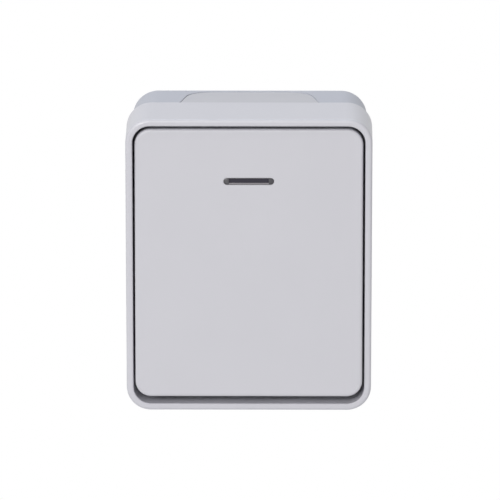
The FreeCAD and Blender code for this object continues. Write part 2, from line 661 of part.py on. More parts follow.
def make_screws(label, middles, seat, head_radius, head_height, shank_radius, reach):
    screws = new_body(label)
    pad(screws, facing_circles(screws, seat, head_radius, middles), head_height)
    pad(screws, facing_circles(screws, seat, shank_radius, middles), reach, reverse=True)
    slot_length = f"2 * {head_radius} + cut_margin"
    head_top = f"{seat} + {head_height}"
    pocket(screws, facing_rectangles(screws, head_top, slot_length, "screw_slot", middles), "screw_slot")
    return screws


make_screws("cover_screws", TOWERS, "cover_seat + washer_thickness", "screw_head_radius",
            "screw_head_height", "screw_radius", "screw_reach + washer_thickness")

washers = new_body("cover_screw_seals")
washer_sketch = facing_circles(washers, "cover_seat", "screw_head_radius", TOWERS)
for across, up in TOWERS:
    add_circle(washer_sketch, shank_room, across, up)
pad(washers, washer_sketch, "washer_thickness")


# Rocker boot: a silicone hood that keeps water out of the well's opening

boot = new_body("rocker_boot")


def boot_outline(level, growth):
    size = [f"{name} + 2 * ({growth})" for name in ("boot_width", "boot_height")]
    return facing_rounded(boot, level, size[0], size[1], f"boot_corner + ({growth})")


bead_bottom = "floor_bottom - boot_skin"
pad(boot, boot_outline(bead_bottom, "-seal_clearance"), f"boot_top - ({bead_bottom})")
pad(boot, boot_outline(bead_bottom, "boot_bead"), "boot_skin")
pad(boot, boot_outline("floor_top", "boot_flange"), "boot_skin")
hood_depth = f"boot_top - boot_skin - ({bead_bottom})"
pocket(boot, boot_outline(bead_bottom, "-seal_clearance - boot_skin"), hood_depth, reverse=True)
chamfer(boot, "boot_bevel", lambda edge: at_level(edge, "boot_top"))
neck_room = ["neck_width + 2 * boot_gap", "neck_thickness + 2 * boot_gap"]
pocket(boot, facing_rectangles(boot, "boot_top", *neck_room), "boot_skin + cut_margin")


# Light window: a clear plug in the well floor, in front of the lamp

window = new_body("light_window")
plug = ["window_width - 2 * seal_clearance", "window_height - 2 * seal_clearance"]
plug_sketch = facing_rounded(window, "floor_bottom", *plug, "window_corner - seal_clearance", "lens_up")
pad(window, plug_sketch, "floor_thickness + window_flange_thickness")
flange = ["window_width + 2 * window_flange", "window_height + 2 * window_flange"]
flange_sketch = facing_rounded(window, "floor_top", *flange, "window_corner + window_flange", "lens_up")
pad(window, flange_sketch, "window_flange_thickness")


# Switch base: the insulating block with the contact chamber and the terminal pockets

TERMINALS = [("-terminal_across", "-terminal_down"), ("terminal_across", "-terminal_down")]
PEGS = [(f"{side} * peg_across", f"{end} * (frame_height / 2 - peg_inset)")
        for side in ("-1", "1") for end in ("-1", "1")]

base = new_body("switch_base")
plate_size = ["frame_width", "frame_height", "frame_corner"]
pad(base, facing_rounded(base, "base_bottom", *plate_size), "base_height")
chamber = ["chamber_width", "chamber_height"]
pocket(base, facing_rectangles(base, "frame_bottom", *chamber), "chamber_depth")
pocket_high = "-terminal_down + terminal_length / 2 + terminal_play"
pocket_low = "-frame_height / 2 - cut_margin"
pocket_size = ["terminal_width + 2 * terminal_play", f"({pocket_high}) - ({pocket_low})"]
pocket_up = f"(({pocket_high}) + ({pocket_low})) / 2"
wire_pockets = [(across, pocket_up) for across, up in TERMINALS]
pocket(base, facing_rectangles(base, "frame_bottom", *pocket_size, wire_pockets), "chamber_depth")
channel_high = "frame_height / 2 + cut_margin"
channel_size = ["tail_width + 2 * terminal_play", f"{channel_high} + terminal_down"]
channel_up = f"({channel_high} - terminal_down) / 2"
tail_channels = [(across, channel_up) for across, up in TERMINALS]
pocket(base, facing_rectangles(base, "frame_bottom", *channel_size, tail_channels), "chamber_depth")
cross_size = ["terminal_across", "strip_width + 2 * terminal_play"]
crossings = [("-terminal_across / 2", "0"), ("terminal_across / 2", "-contact_reach")]
for crossing in crossings:
    pocket(base, facing_rectangles(base, "frame_bottom", *cross_size, [crossing]), "chamber_depth")
stop_middle = "bridge_length / 2 - stop_length / 2"
stop = facing_rectangles(base, "chamber_floor", "chamber_width", "stop_length", [("0", stop_middle)])
pad(base, stop, "stop_top - chamber_floor")
pad(base, facing_circles(base, "frame_bottom", "peg_radius", PEGS), "frame_thickness")
screw_room = "terminal_screw_radius + screw_play"
screw_well = facing_circles(base, "chamber_floor", screw_room, TERMINALS)
pocket(base, screw_well, "terminal_screw_reach + pilot_spare")


# Bearing frame: the plate that closes the base, with two cheeks for the dolly and the lamp's shelf

bearing = new_body("bearing_frame")
pad(bearing, facing_rounded(bearing, "frame_bottom", *plate_size), "frame_thickness")
pad(bearing, facing_circles(bearing, "frame_bottom", "ear_radius", EARS), "frame_thickness")
arm_width = "ear_across - frame_width / 2 + frame_corner"
arm_middle = "(ear_across + frame_width / 2 - frame_corner) / 2"
ear_arms = [(f"-({arm_middle})", "ear_up"), (arm_middle, "-ear_up")]
arm_sketch = facing_rectangles(bearing, "frame_bottom", arm_width, "2 * ear_radius", ear_arms)
pad(bearing, arm_sketch, "frame_thickness")
shelf_up = "frame_height / 2 - frame_corner + (lamp_shelf_height + frame_corner) / 2"
shelf_size = ["lamp_shelf_width", "lamp_shelf_height + frame_corner"]
pad(bearing, facing_rectangles(bearing, "frame_bottom", *shelf_size, [("0", shelf_up)]), "frame_thickness")
cheeks = [("-cheek_middle", "0"), ("cheek_middle", "0")]
cheek_sketch = facing_rectangles(bearing, "frame_top", "cheek_thickness", "cheek_width", cheeks)
pad(bearing, cheek_sketch, "frame_drop + cheek_rise")
fillet(bearing, "cheek_round", lambda edge: at_level(edge, "axis_level + cheek_rise")
       and edge.BoundBox.ZLength < TOLERANCE)
axis_sketch = sketch_on(bearing, "YZ_Plane")
add_circle(axis_sketch, "pin_radius + running_clearance", "-axis_level", "0")
pocket(bearing, axis_sketch, "2 * (cheek_inside + cheek_thickness) + cut_margin", symmetric=True)
arm_room = ["frame_hole_width", "frame_hole_height"]
through_frame = "frame_thickness + cut_margin"
pocket(bearing, facing_rectangles(bearing, "frame_top", *arm_room), through_frame)
LEADS = [("-terminal_across", "lead_up"), ("terminal_across", "lead_up")]
frame_holes = [(shank_room, EARS), ("peg_radius + peg_play", PEGS), ("driver_hole_radius", TERMINALS)]
for radius, middles in frame_holes:
    pocket(bearing, facing_circles(bearing, "frame_top", radius, middles), through_frame)
lead_room = ["lead_width + 2 * lead_play", "lead_width + 2 * lead_play", LEADS]
pocket(bearing, facing_rectangles(bearing, "frame_top", *lead_room), through_frame)

make_screws("frame_screws", EARS, "frame_top", "screw_head_radius", "screw_head_height",
            "screw_radius", "screw_reach")


# Terminals: folded brass strips, one with the knife edge and one with the fixed contact

def make_terminal(label, side):
    """A clamping pad with a tail that runs up to the lamp's pin."""
    terminal = new_body(label)
    pad_middle = (f"{side} * terminal_across", "-terminal_down")
    clamping = facing_rectangles(terminal, "chamber_floor", "terminal_width", "terminal_length", [pad_middle])
    pad(terminal, clamping, "strip_thickness")
    tail_size = ["tail_width", "tail_top + terminal_down"]
    tail_middle = (f"{side} * terminal_across", "(tail_top - terminal_down) / 2")
    pad(terminal, facing_rectangles(terminal, "chamber_floor", *tail_size, [tail_middle]), "strip_thickness")
    return terminal, pad_middle


def pierce(terminal, pad_middle):
    """The threaded hole of the clamping screw."""
    hole = facing_circles(terminal, "strip_top", "terminal_screw_radius + screw_bite", [pad_middle])
    pocket(terminal, hole, "strip_thickness + cut_margin")


common, common_pad = make_terminal("common_terminal", "-1")
crossbar_reach = "terminal_across + strip_width / 2"
crossbar_middle = ("-terminal_across / 2 + strip_width / 4", "0")
crossbar = facing_rectangles(common, "chamber_floor", crossbar_reach, "strip_width", [crossbar_middle])
pad(common, crossbar, "strip_thickness")
blade = sketch_on(common, "YZ_Plane")
shoulder = "fulcrum_thickness / 2 - fulcrum_level"
half_blade = "fulcrum_thickness / 2"
add_polygon(blade, [("-chamber_floor", f"-{half_blade}"), ("-chamber_floor", half_blade),
                    (shoulder, half_blade), ("-fulcrum_level", "0"), (shoulder, f"-{half_blade}")])
pad(common, blade, "strip_width", symmetric=True)
pierce(common, common_pad)

load, load_pad = make_terminal("load_terminal", "1")
step = sketch_on(load, "XY_Plane", "-contact_reach")
inner, outer = "strip_width / 2", "strip_width / 2 + strip_thickness"
table_under = "strip_thickness - table_top"
add_polygon(step, [("terminal_across", "-chamber_floor"), (inner, "-chamber_floor"), (inner, table_under),
                   ("-strip_width / 2", table_under), ("-strip_width / 2", "-table_top"),
                   (outer, "-table_top"), (outer, "-strip_top"), ("terminal_across", "-strip_top")])
pad(load, step, "strip_width", symmetric=True)
pierce(load, load_pad)

fixed = new_body("fixed_contact")
FIXED_CONTACT = [("0", "-contact_reach")]
pad(fixed, facing_circles(fixed, "table_top", "contact_radius", FIXED_CONTACT), "contact_height")

clamps = new_body("clamp_plates")
clamp_sketch = facing_rectangles(clamps, "strip_top", "clamp_width", "clamp_width", TERMINALS)
pad(clamps, clamp_sketch, "clamp_thickness")
pocket(clamps, facing_circles(clamps, "clamp_top", screw_room, TERMINALS), "clamp_thickness + cut_margin")

make_screws("terminal_screws", TERMINALS, "clamp_top", "terminal_head_radius", "terminal_head_height",
            "terminal_screw_radius", "clamp_top - chamber_floor + terminal_screw_reach")


# Contact bridge: the brass seesaw on the knife edge, with its riveted contact

bridge = new_body("contact_bridge")
pad(bridge, facing_rounded(bridge, "bridge_bottom", "bridge_width", "bridge_length", "bridge_corner"),
    "bridge_thickness")
tilt_about(bridge, "fulcrum_level", "bridge_tilt")

moving = new_body("moving_contact")
pad(moving, facing_circles(moving, "bridge_bottom", "contact_radius", FIXED_CONTACT), "contact_height",
    reverse=True)
tilt_about(moving, "fulcrum_level", "bridge_tilt")


# Lamp: a small board on the frame's shelf, fed by two pins from the terminal strips

board = new_body("lamp_board")
board_size = ["board_width", "board_height"]
pad(board, facing_rectangles(board, "frame_top", *board_size, [("0", "board_middle")]), "board_thickness")
pocket(board, facing_rectangles(board, "board_top", *lead_room), "board_thickness + cut_margin")

lamp = new_body("lamp")
pad(lamp, facing_rectangles(lamp, "board_top", "lamp_width", "lamp_height", [("0", "lens_up")]),
    "lamp_thickness")

resistor = new_body("resistor")
resistor_middle = [("resistor_across", "lens_up")]
pad(resistor, facing_rectangles(resistor, "board_top", "resistor_width", "resistor_height", resistor_middle),
    "resistor_thickness")

pins = new_body("lamp_pins")
pad(pins, facing_rectangles(pins, "strip_top", "lead_width", "lead_width", LEADS),
    "board_top + lead_stand - strip_top")


# Dolly: the pivot that carries the rocker, with trunnions and the plunger's bore

dolly = new_body("dolly")
pin_span = "dolly_width + 2 * (side_clearance + cheek_thickness - fit_clearance)"
for radius, span in (("barrel_radius", "dolly_width"), ("pin_radius", pin_span)):
    sketch = sketch_on(dolly, "YZ_Plane")
    add_circle(sketch, radius, "-axis_level", "0")
    pad(dolly, sketch, span, symmetric=True)
pad(dolly, facing_rectangles(dolly, "axis_level", "neck_width", "neck_thickness"),
    "inner_face_level - axis_level")
pad(dolly, facing_circles(dolly, "arm_end", "arm_radius"), "arm_length")
pocket(dolly, facing_circles(dolly, "arm_end", "bore_radius"), "bore_end - arm_end", reverse=True)
notch_level = "-(hook_level + hook_height / 2)"
for side in ("-1", "1"):
    sketch = sketch_on(dolly, "YZ_Plane")
    notch_size = ["hook_height + 2 * hook_play", "2 * (hook_reach + hook_play)"]
    add_rectangle(sketch, *notch_size, notch_level, f"{side} * neck_thickness / 2")
    pocket(dolly, sketch, "neck_width + cut_margin", symmetric=True)


# Rocker: the wide moulded key, hooked over the dolly's neck

rocker = new_body("rocker")
rocker_rear = "face_level - rocker_skirt"
outer_size = ["rocker_width", "rocker_height"]
pad(rocker, facing_rounded(rocker, rocker_rear, *outer_size, "rocker_corner", "rocker_lift"), "rocker_skirt")
fillet(rocker, "rocker_round", lambda edge: at_level(edge, "face_level"))
inner_size = ["rocker_width - 2 * rocker_wall", "rocker_height - 2 * rocker_wall"]
inner_corner = "rocker_corner - rocker_wall"
pocket(rocker, facing_rounded(rocker, rocker_rear, *inner_size, inner_corner, "rocker_lift"),
       "rocker_skirt - rocker_face", reverse=True)
long_ribs = [("-rocker_rib_across", "rocker_lift"), ("rocker_rib_across", "rocker_lift")]
cross_ribs = [("0", "-rocker_rib_up"), ("0", "rocker_rib_up")]
rib_sets = [(["rocker_rib", inner_size[1]], long_ribs), ([inner_size[0], "rocker_rib"], cross_ribs)]
for rib_size, middles in rib_sets:
    rib_sketch = facing_rectangles(rocker, "inner_face_level", *rib_size, middles)
    pad(rocker, rib_sketch, "rocker_rib_depth", reverse=True)
leg_up = "neck_thickness / 2 + hook_play + hook_leg / 2"
legs = [("0", f"-({leg_up})"), ("0", leg_up)]
pad(rocker, facing_rectangles(rocker, "hook_level", "neck_width", "hook_leg", legs),
    "inner_face_level - hook_level")
hook_up = "neck_thickness / 2 + hook_play + (hook_leg - hook_reach) / 2"
hooks = [("0", f"-({hook_up} - hook_reach / 2)"), ("0", f"{hook_up} - hook_reach / 2")]
pad(rocker, facing_rectangles(rocker, "hook_level", "neck_width", "hook_leg", hooks), "hook_height")
lens_hole = facing(rocker, "face_level")
add_slot(lens_hole, "lens_width", "lens_height", "lens_up")
pocket(rocker, lens_hole, "rocker_face + cut_margin")


# Indicator lens: a smoked window with a light guide that hangs towards the lamp

lens = new_body("indicator_lens")
lens_front = facing(lens, "inner_face_level")
add_slot(lens_front, "lens_width - 2 * lens_play", "lens_height - 2 * lens_play", "lens_up")
pad(lens, lens_front, "rocker_face - lens_recess")
flange_size = ["lens_width + 2 * guide_shoulder", "lens_height + 2 * guide_shoulder"]
pad(lens, facing_rectangles(lens, "inner_face_level", *flange_size, [("0", "lens_up")]), "guide_shoulder",
    reverse=True)
guide_size = ["guide_width", "lens_height"]
pad(lens, facing_rectangles(lens, "inner_face_level", *guide_size, [("0", "lens_up")]), "guide_length",
    reverse=True)


# Plunger and spring: the pin in the dolly's arm that throws the bridge over

plunger = new_body("plunger")
pad(plunger, facing_circles(plunger, "tip_level", "plunger_radius"), "plunger_top - tip_level")
chamfer(plunger, "tip_bevel", lambda edge: at_level(edge, "tip_level"))

spring = new_body("plunger_spring")
wire_sketch = sketch_on(spring, "YZ_Plane")
wire_level = "-(plunger_top + spring_wire / 2 + spring_play)"
WIRE_FLATS = 6
wire_angles = [360 * index // WIRE_FLATS for index in range(WIRE_FLATS)]
add_polygon(wire_sketch, [(f"{wire_level} + spring_wire / 2 * cos({angle})",
                           f"spring_radius + spring_wire / 2 * sin({angle})") for angle in wire_angles])
coil = spring.newObject("PartDesign::AdditiveHelix", "plunger_spring_coil")
coil.Profile = wire_sketch
coil.ReferenceAxis = (next(a for a in spring.Origin.OriginFeatures if a.Role == "Y_Axis"), [""])
coil.Mode = "height-turns-angle"
coil.Reversed = True
bind(coil, "Height", "spring_length - spring_wire - 2 * spring_play")
bind(coil, "Turns", "spring_turns")
doc.recompute()

for item in (dolly, rocker, lens, plunger, spring):
    tilt_about(item, "axis_level", "-rocker_tilt")


# Every feature must have been made before anything is written

doc.recompute()
for item in doc.Objects:
    if "Invalid" in item.State or "Error" in item.State:
        raise RuntimeError(f"{item.Label} could not be made")
bodies = [item for item in doc.Objects if item.TypeId == "PartDesign::Body"]
for body in bodies:
    if body.Shape.isNull() or not body.Shape.isValid():
        raise RuntimeError(f"{body.Label} has no valid shape")
os.makedirs("parts", exist_ok=True)
for body in bodies:
    body.Shape.exportStep(f"parts/{body.Label}.step")
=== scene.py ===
import json
import math

import bmesh
import bpy
from mathutils import Matrix, Vector


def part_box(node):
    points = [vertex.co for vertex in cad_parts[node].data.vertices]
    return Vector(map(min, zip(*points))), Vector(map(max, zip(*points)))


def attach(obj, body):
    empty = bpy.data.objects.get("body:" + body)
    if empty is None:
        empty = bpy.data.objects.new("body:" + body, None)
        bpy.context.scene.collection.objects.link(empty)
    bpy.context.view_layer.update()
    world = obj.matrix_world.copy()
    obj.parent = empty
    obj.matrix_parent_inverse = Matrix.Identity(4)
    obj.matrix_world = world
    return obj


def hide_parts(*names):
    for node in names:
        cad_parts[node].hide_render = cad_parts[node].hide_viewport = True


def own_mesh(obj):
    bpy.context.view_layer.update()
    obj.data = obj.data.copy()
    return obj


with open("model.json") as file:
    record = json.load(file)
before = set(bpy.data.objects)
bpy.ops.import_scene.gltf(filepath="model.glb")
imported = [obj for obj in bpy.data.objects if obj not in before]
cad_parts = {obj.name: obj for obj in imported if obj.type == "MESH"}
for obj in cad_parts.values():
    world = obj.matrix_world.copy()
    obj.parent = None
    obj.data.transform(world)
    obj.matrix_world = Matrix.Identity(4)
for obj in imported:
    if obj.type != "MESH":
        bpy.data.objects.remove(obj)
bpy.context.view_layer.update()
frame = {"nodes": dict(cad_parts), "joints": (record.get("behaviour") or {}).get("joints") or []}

# Back box
# The deep tray that is screwed to the wall, one injection moulding in ASA, a plastic that stands
# sun and rain. Its mould was spark-eroded, so the skin has a fine grain and looks matt.

MM = 0.001


def srgb(code):
    """A hex colour as linear light."""
    shares = [int(code[start:start + 2], 16) / 255 for start in (1, 3, 5)]
    light = [s / 12.92 if s <= 0.04045 else ((s + 0.055) / 1.055) ** 2.4 for s in shares]
    return (*light, 1.0)


def add_node(tree, kind, settings, links):
    """One node: settings go to its sockets or its own properties, links feed its sockets."""
    node = tree.nodes.new(kind)
    for key, value in settings.items():
        if isinstance(key, int) or key in node.inputs:
            node.inputs[key].default_value = value
        else:
            setattr(node, key, value)
    for key, output in links.items():
        tree.links.new(output, node.inputs[key])
    return node


def start_material(name, constants):
    """A material with its shader set; also gives the place of each point on the object, in metres."""
    material = bpy.data.materials.new(name)
    material.use_nodes = True
    tree = material.node_tree
    shader = tree.nodes["Principled BSDF"]
    for socket, value in constants.items():
        shader.inputs[socket].default_value = value
    place = add_node(tree, "ShaderNodeTexCoord", {}, {}).outputs["Object"]
    return material, tree, shader, place


# Where the Mix node keeps its share, its two colours and its mixed colour
MIX_SHARE, MIX_FIRST, MIX_SECOND, MIX_RESULT = 0, 6, 7, 2


def mottle(tree, shader, place, patch_mm, shades, detail=2.0):
    """A colour that drifts between two shades in patches of about the size given."""
    patches = add_node(tree, "ShaderNodeTexNoise", {"Scale": 1 / (patch_mm * MM), "Detail": detail},
                       {"Vector": place})
    mix = add_node(tree, "ShaderNodeMix", {
        "data_type": "RGBA", MIX_FIRST: srgb(shades[0]), MIX_SECOND: srgb(shades[1])},
        {MIX_SHARE: patches.outputs[0]})
    tree.links.new(mix.outputs[MIX_RESULT], shader.inputs["Base Color"])


def grain(tree, shader, place, size_mm, height_mm, roughness, edge_mm=0.05):
    """A fine uneven skin: bumps of the size and height given, a roughness that varies with them,
    and edges that look as rounded as the radius given."""
    skin = add_node(tree, "ShaderNodeTexNoise", {"Scale": 1 / (size_mm * MM), "Detail": 3.0},
                    {"Vector": place}).outputs[0]
    polish = add_node(tree, "ShaderNodeMapRange", {"To Min": roughness[0], "To Max": roughness[1]},
                      {"Value": skin})
    tree.links.new(polish.outputs[0], shader.inputs["Roughness"])
    edge = add_node(tree, "ShaderNodeBevel", {"Radius": edge_mm * MM}, {})
    bump = add_node(tree, "ShaderNodeBump", {"Distance": height_mm * MM},
                    {"Height": skin, "Normal": edge.outputs[0]})
    tree.links.new(bump.outputs[0], shader.inputs["Normal"])


# The grain is about 0.1 mm in the mould. It is drawn at 0.35 mm, or it would not show at all.
SPARK_GRAIN = 0.35
SPARK_HEIGHT = 0.006
FLOW_PATCH = 16.0
MOULD_EDGE = 0.4
ASA_IOR = 1.52


def moulded_asa(name, shades, roughness):
    """Spark-eroded ASA: an even, soft highlight, with the faintest cloudiness where the melt flowed."""
    material, tree, shader, place = start_material(name, {"IOR": ASA_IOR})
    mottle(tree, shader, place, FLOW_PATCH, shades)
    grain(tree, shader, place, SPARK_GRAIN, SPARK_HEIGHT, roughness, MOULD_EDGE)
    return material


def dress(node, material):
    """Gives a piece that keeps its modelled shape the finish of its real material."""
    frame["nodes"][node].data.materials[0] = material


# The box's grey is set darker and a little bluer than the cover's.
box_asa = moulded_asa("moulded_asa_box_grey", ("#B8BBC5", "#BCBFC8"), (0.42, 0.52))
dress("back_box", box_asa)

# Cable entry seals
# Two soft grommets of thermoplastic rubber, pushed into the box wall from outside, top and bottom.
# A flange lies in the rebate, a neck fills the opening and a collar inside grips the cable.

ARC_STEPS = 8
SMALLEST_ROUND = 0.02


def rounded(corners, radii):
    """A closed outline with each corner turned into an arc. The corners run anticlockwise."""
    points = []
    for index, corner in enumerate(corners):
        corner = Vector(corner)
        radius = max(radii[index], SMALLEST_ROUND)
        before = (Vector(corners[index - 1]) - corner).normalized()
        after = (Vector(corners[(index + 1) % len(corners)]) - corner).normalized()
        half = before.angle(after) / 2
        middle = corner + (before + after).normalized() * radius / math.sin(half)
        start = corner + before * radius / math.tan(half) - middle
        end = corner + after * radius / math.tan(half) - middle
        turn = start.angle(end)
        for step in range(ARC_STEPS + 1):
            along = turn * step / ARC_STEPS
            swung = start * math.sin(turn - along) + end * math.sin(along)
            points.append(middle + swung / math.sin(turn))
    return points


def grown(corners, distance):
    """The same corners with every side moved outwards, or inwards where the distance is negative."""
    moved = []
    for index, corner in enumerate(corners):
        corner = Vector(corner)
        arriving = (corner - Vector(corners[index - 1])).normalized()
        leaving = (Vector(corners[(index + 1) % len(corners)]) - corner).normalized()
        first = Vector((arriving.y, -arriving.x))
        second = Vector((leaving.y, -leaving.x))
        moved.append(corner + (first + second) * distance / (1 + first.dot(second)))
    return moved


def rectangle(width, height, middle=(0, 0)):
    """Four corners, anticlockwise from the lower left."""
    signs = ((-1, -1), (1, -1), (1, 1), (-1, 1))
    return [(middle[0] + width / 2 * a, middle[1] + height / 2 * b) for a, b in signs]


def rounded_steps(corners, radii, steps):
    """Outlines at several heights, each step a growth of the corners and a height."""
    loops = []
    for growth, height in steps:
        outline = rounded(grown(corners, growth), [radius + growth for radius in radii])
        loops.append([(*point, height) for point in outline])
    return loops


def loft(loops, ring=False):
    """Points and faces of the skin through loops of equal length, capped unless it closes on itself."""
    count = len(loops[0])
    points = [tuple(point) for loop in loops for point in loop]
    faces = []
    for row in range(len(loops) if ring else len(loops) - 1):
        this, following = row * count, (row + 1) % len(loops) * count
        for side in range(count):
            beside = (side + 1) % count
            faces.append((this + side, this + beside, following + beside, following + side))
    if not ring:
        faces.append(tuple(range(count - 1, -1, -1)))
        faces.append(tuple(range((len(loops) - 1) * count, len(loops) * count)))
    return points, faces


def turned_out(point):
    """From a drawing seen from the front, with height towards the viewer, to the object's frame."""
    across, up, level = point
    return Vector((across, -level, up)) * MM


SMOOTH_ANGLE = math.radians(38)


def make_piece(name, shells, place, material, body, slot, *nodes):
    """One object from lofted shells; place turns each drawn point, in millimetres, into the frame."""
    piece_mesh = bpy.data.meshes.new(name)
    built = bmesh.new()
    for points, faces in shells:
        corners = [built.verts.new(place(point)) for point in points]
        for face in faces:
            built.faces.new([corners[index] for index in face])
    bmesh.ops.recalc_face_normals(built, faces=built.faces)
    built.to_mesh(piece_mesh)
    built.free()
    piece_mesh.shade_smooth()
    piece_mesh.set_sharp_from_angle(angle=SMOOTH_ANGLE)
    piece_mesh.materials.append(material)
    piece = bpy.data.objects.new(name, piece_mesh)
    bpy.context.scene.collection.objects.link(piece)
    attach(piece, body)
    if nodes:
        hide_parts(*nodes)
    return piece


RUBBER_PIT = 0.4
RUBBER_PIT_HEIGHT = 0.012
RUBBER_PATCH = 9.0
RUBBER_EDGE = 0.3


def moulded_rubber(name, shades, roughness, ior):
    """Soft rubber has a dry, powdery face: no clear highlight, and fine pits from the mould."""
    material, tree, shader, place = start_material(name, {"IOR": ior})
    mottle(tree, shader, place, RUBBER_PATCH, shades)
    grain(tree, shader, place, RUBBER_PIT, RUBBER_PIT_HEIGHT, roughness, RUBBER_EDGE)
    return material


entry_rubber = moulded_rubber("soft_thermoplastic_rubber", ("#CACACE", "#D0D0D3"), (0.55, 0.68), ior=1.49)

ENTRY_REAR, ENTRY_FRONT = 2.5, 23.3
ENTRY_REAR_WIDTH, ENTRY_FRONT_WIDTH = 35.4, 42.5
ENTRY_ROUND, ENTRY_FRONT_ROUND = 8.4, 2.9
NECK_SIZE = (27.8, 11.8)
NECK_ROUND = 2.9
LIP_GROWTH = 1.5
LIP_THICKNESS = 1.5
FLANGE_THICKNESS = 1.1
NECK_LENGTH = 1.6
COLLAR_RADIUS, BORE_RADIUS = 5.4, 4.0
COLLAR_LENGTH = 4.0
MEMBRANE = 1.0
SOFT_EDGE = 0.2
FACE_EDGE = 0.08
# The flange is squeezed into its rebate, so that its face and its sides swell by this much.
FACE_SWELL, SIDE_SWELL = 0.25, 0.08

entry_corners = [(-ENTRY_REAR_WIDTH / 2, -ENTRY_REAR), (-ENTRY_FRONT_WIDTH / 2, -ENTRY_FRONT),
                 (ENTRY_FRONT_WIDTH / 2, -ENTRY_FRONT), (ENTRY_REAR_WIDTH / 2, -ENTRY_REAR)]
entry_rounds = (ENTRY_ROUND, ENTRY_FRONT_ROUND, ENTRY_FRONT_ROUND, ENTRY_ROUND)
entry_middle = (0, -(ENTRY_REAR + ENTRY_FRONT) / 2)
neck_corners = rectangle(*NECK_SIZE, entry_middle)


def round_steps(middle, steps):
    """Circles at several heights, with as many points as an outline of four corners."""
    count = 4 * (ARC_STEPS + 1)
    start = math.radians(180)
    angles = [start + math.tau * (index + 0.5) / count for index in range(count)]
    return [[(middle[0] + radius * math.cos(angle), middle[1] + radius * math.sin(angle), height)
             for angle in angles] for radius, height in steps]


def entry_seal(top):
    """The skin of one seal, from its outer face down to the inside of the cable bore."""
    flange_bottom = top - FLANGE_THICKNESS
    neck_bottom = flange_bottom - NECK_LENGTH
    lip_bottom = neck_bottom - LIP_THICKNESS
    collar_end = lip_bottom - COLLAR_LENGTH
    swollen = top + FACE_SWELL
    face = rounded_steps(entry_corners, entry_rounds, [
        (SIDE_SWELL - 3 * FACE_EDGE, swollen), (SIDE_SWELL - FACE_EDGE, swollen - FACE_EDGE / 4),
        (SIDE_SWELL, swollen - FACE_EDGE), (SIDE_SWELL, flange_bottom)])
    neck = rounded_steps(neck_corners, [NECK_ROUND] * 4, [
        (0, flange_bottom), (0, neck_bottom), (LIP_GROWTH - SOFT_EDGE, neck_bottom),
        (LIP_GROWTH, neck_bottom - SOFT_EDGE), (LIP_GROWTH, lip_bottom + SOFT_EDGE),
        (LIP_GROWTH - SOFT_EDGE, lip_bottom)])
    collar = round_steps(entry_middle, [
        (COLLAR_RADIUS, lip_bottom), (COLLAR_RADIUS, collar_end + SOFT_EDGE),
        (COLLAR_RADIUS - SOFT_EDGE, collar_end), (BORE_RADIUS + SOFT_EDGE, collar_end),
        (BORE_RADIUS, collar_end + SOFT_EDGE), (BORE_RADIUS, top - MEMBRANE)])
    return loft(face + neck + collar)


for seal_node in ("top_entry_seal", "bottom_entry_seal"):
    seal_low, seal_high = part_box(seal_node)
    upright = 1 if seal_high.z > 0 else -1
    seal_top = max(abs(seal_low.z), abs(seal_high.z)) / MM
    make_piece(seal_node + "_soft", [entry_seal(seal_top)],
               lambda point: Vector((upright * point[0], point[1], upright * point[2])) * MM,
               entry_rubber, "housing", "entry_rubber", seal_node)

# Box gasket
# The ring of black EPDM rubber between the box and the cover. It is moulded with round edges and
# lies squeezed on the front edge of the box.

GASKET_WIDTH = 1.6
SECTION_STEPS = 16
COVER_CORNER = 7.1
GASKET_INSET = 2.2
# At 1 the section would be an ellipse, and near 0 a rectangle.
SECTION_ROUNDNESS = 0.6


def round_section(width, thickness):
    """Offsets round a soft, nearly rectangular section: how far in, and how high."""
    section = []
    for step in range(SECTION_STEPS):
        angle = math.tau * step / SECTION_STEPS
        across = math.copysign(abs(math.cos(angle)) ** SECTION_ROUNDNESS, math.cos(angle))
        high = math.copysign(abs(math.sin(angle)) ** SECTION_ROUNDNESS, math.sin(angle))
        section.append((width / 2 * across, thickness / 2 * high))
    return section


epdm = moulded_rubber("black_epdm_rubber", ("#262628", "#303032"), (0.6, 0.75), ior=1.52)
gasket_low, gasket_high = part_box("box_gasket")
gasket_size = (gasket_high - gasket_low) / MM
gasket_level = -(gasket_low.y + gasket_high.y) / 2 / MM
gasket_line = rectangle(gasket_size.x, gasket_size.z)
gasket_loops = rounded_steps(gasket_line, [COVER_CORNER - GASKET_INSET] * 4, [
    (across - GASKET_WIDTH / 2, gasket_level + high)
    for across, high in round_section(GASKET_WIDTH, gasket_size.y)])
make_piece("box_gasket_soft", [loft(gasket_loops, ring=True)], turned_out, epdm,
           "housing", "seal_rubber", "box_gasket")

# Front cover
# The skirt, the rim and the floor of the rocker's well are one moulding in the same ASA as the box,
# from a finer mould. It slides over the front edge of the box and is held by two screws.

cover_asa = moulded_asa("moulded_asa_cover_grey", ("#CDCDD4", "#D1D1D7"), (0.3, 0.38))
dress("front_cover", cover_asa)

# Cover screws and their seals
# Two pan-head screws of zinc-plated steel go through bosses in the well into towers in the box.
# A rubber washer under each head keeps the water out.

# The crystals of the plating are far finer. They are drawn at 0.5 mm, or they would not show.
ZINC_CRYSTAL = 0.5


def zinc_plated_steel(name):
    """A thin bright skin with a fine crystal bloom, so the highlight is broken and bluish."""
    material, tree, shader, place = start_material(name, {"Metallic": 1.0})
    mottle(tree, shader, place, ZINC_CRYSTAL, ("#B4B7BB", "#C9CCD0"))
    grain(tree, shader, place, ZINC_CRYSTAL, height_mm=0.004, roughness=(0.26, 0.42))
    return material


zinc_steel = zinc_plated_steel("zinc_plated_steel")

SCREW_SIDES = 32
ROWS_A_TURN = 8
CROWN_STEPS = 7
# Shares of the pitch (the ridge's foot), of the shank (the tip) and of the head (the rest)
RIDGE_FOOT = 0.6
TIP = 0.35
HEAD_BEVEL = 0.12
CROWN_HEIGHT = 0.4
CROWN_END = 0.62
HEAD_FLAT = 0.6


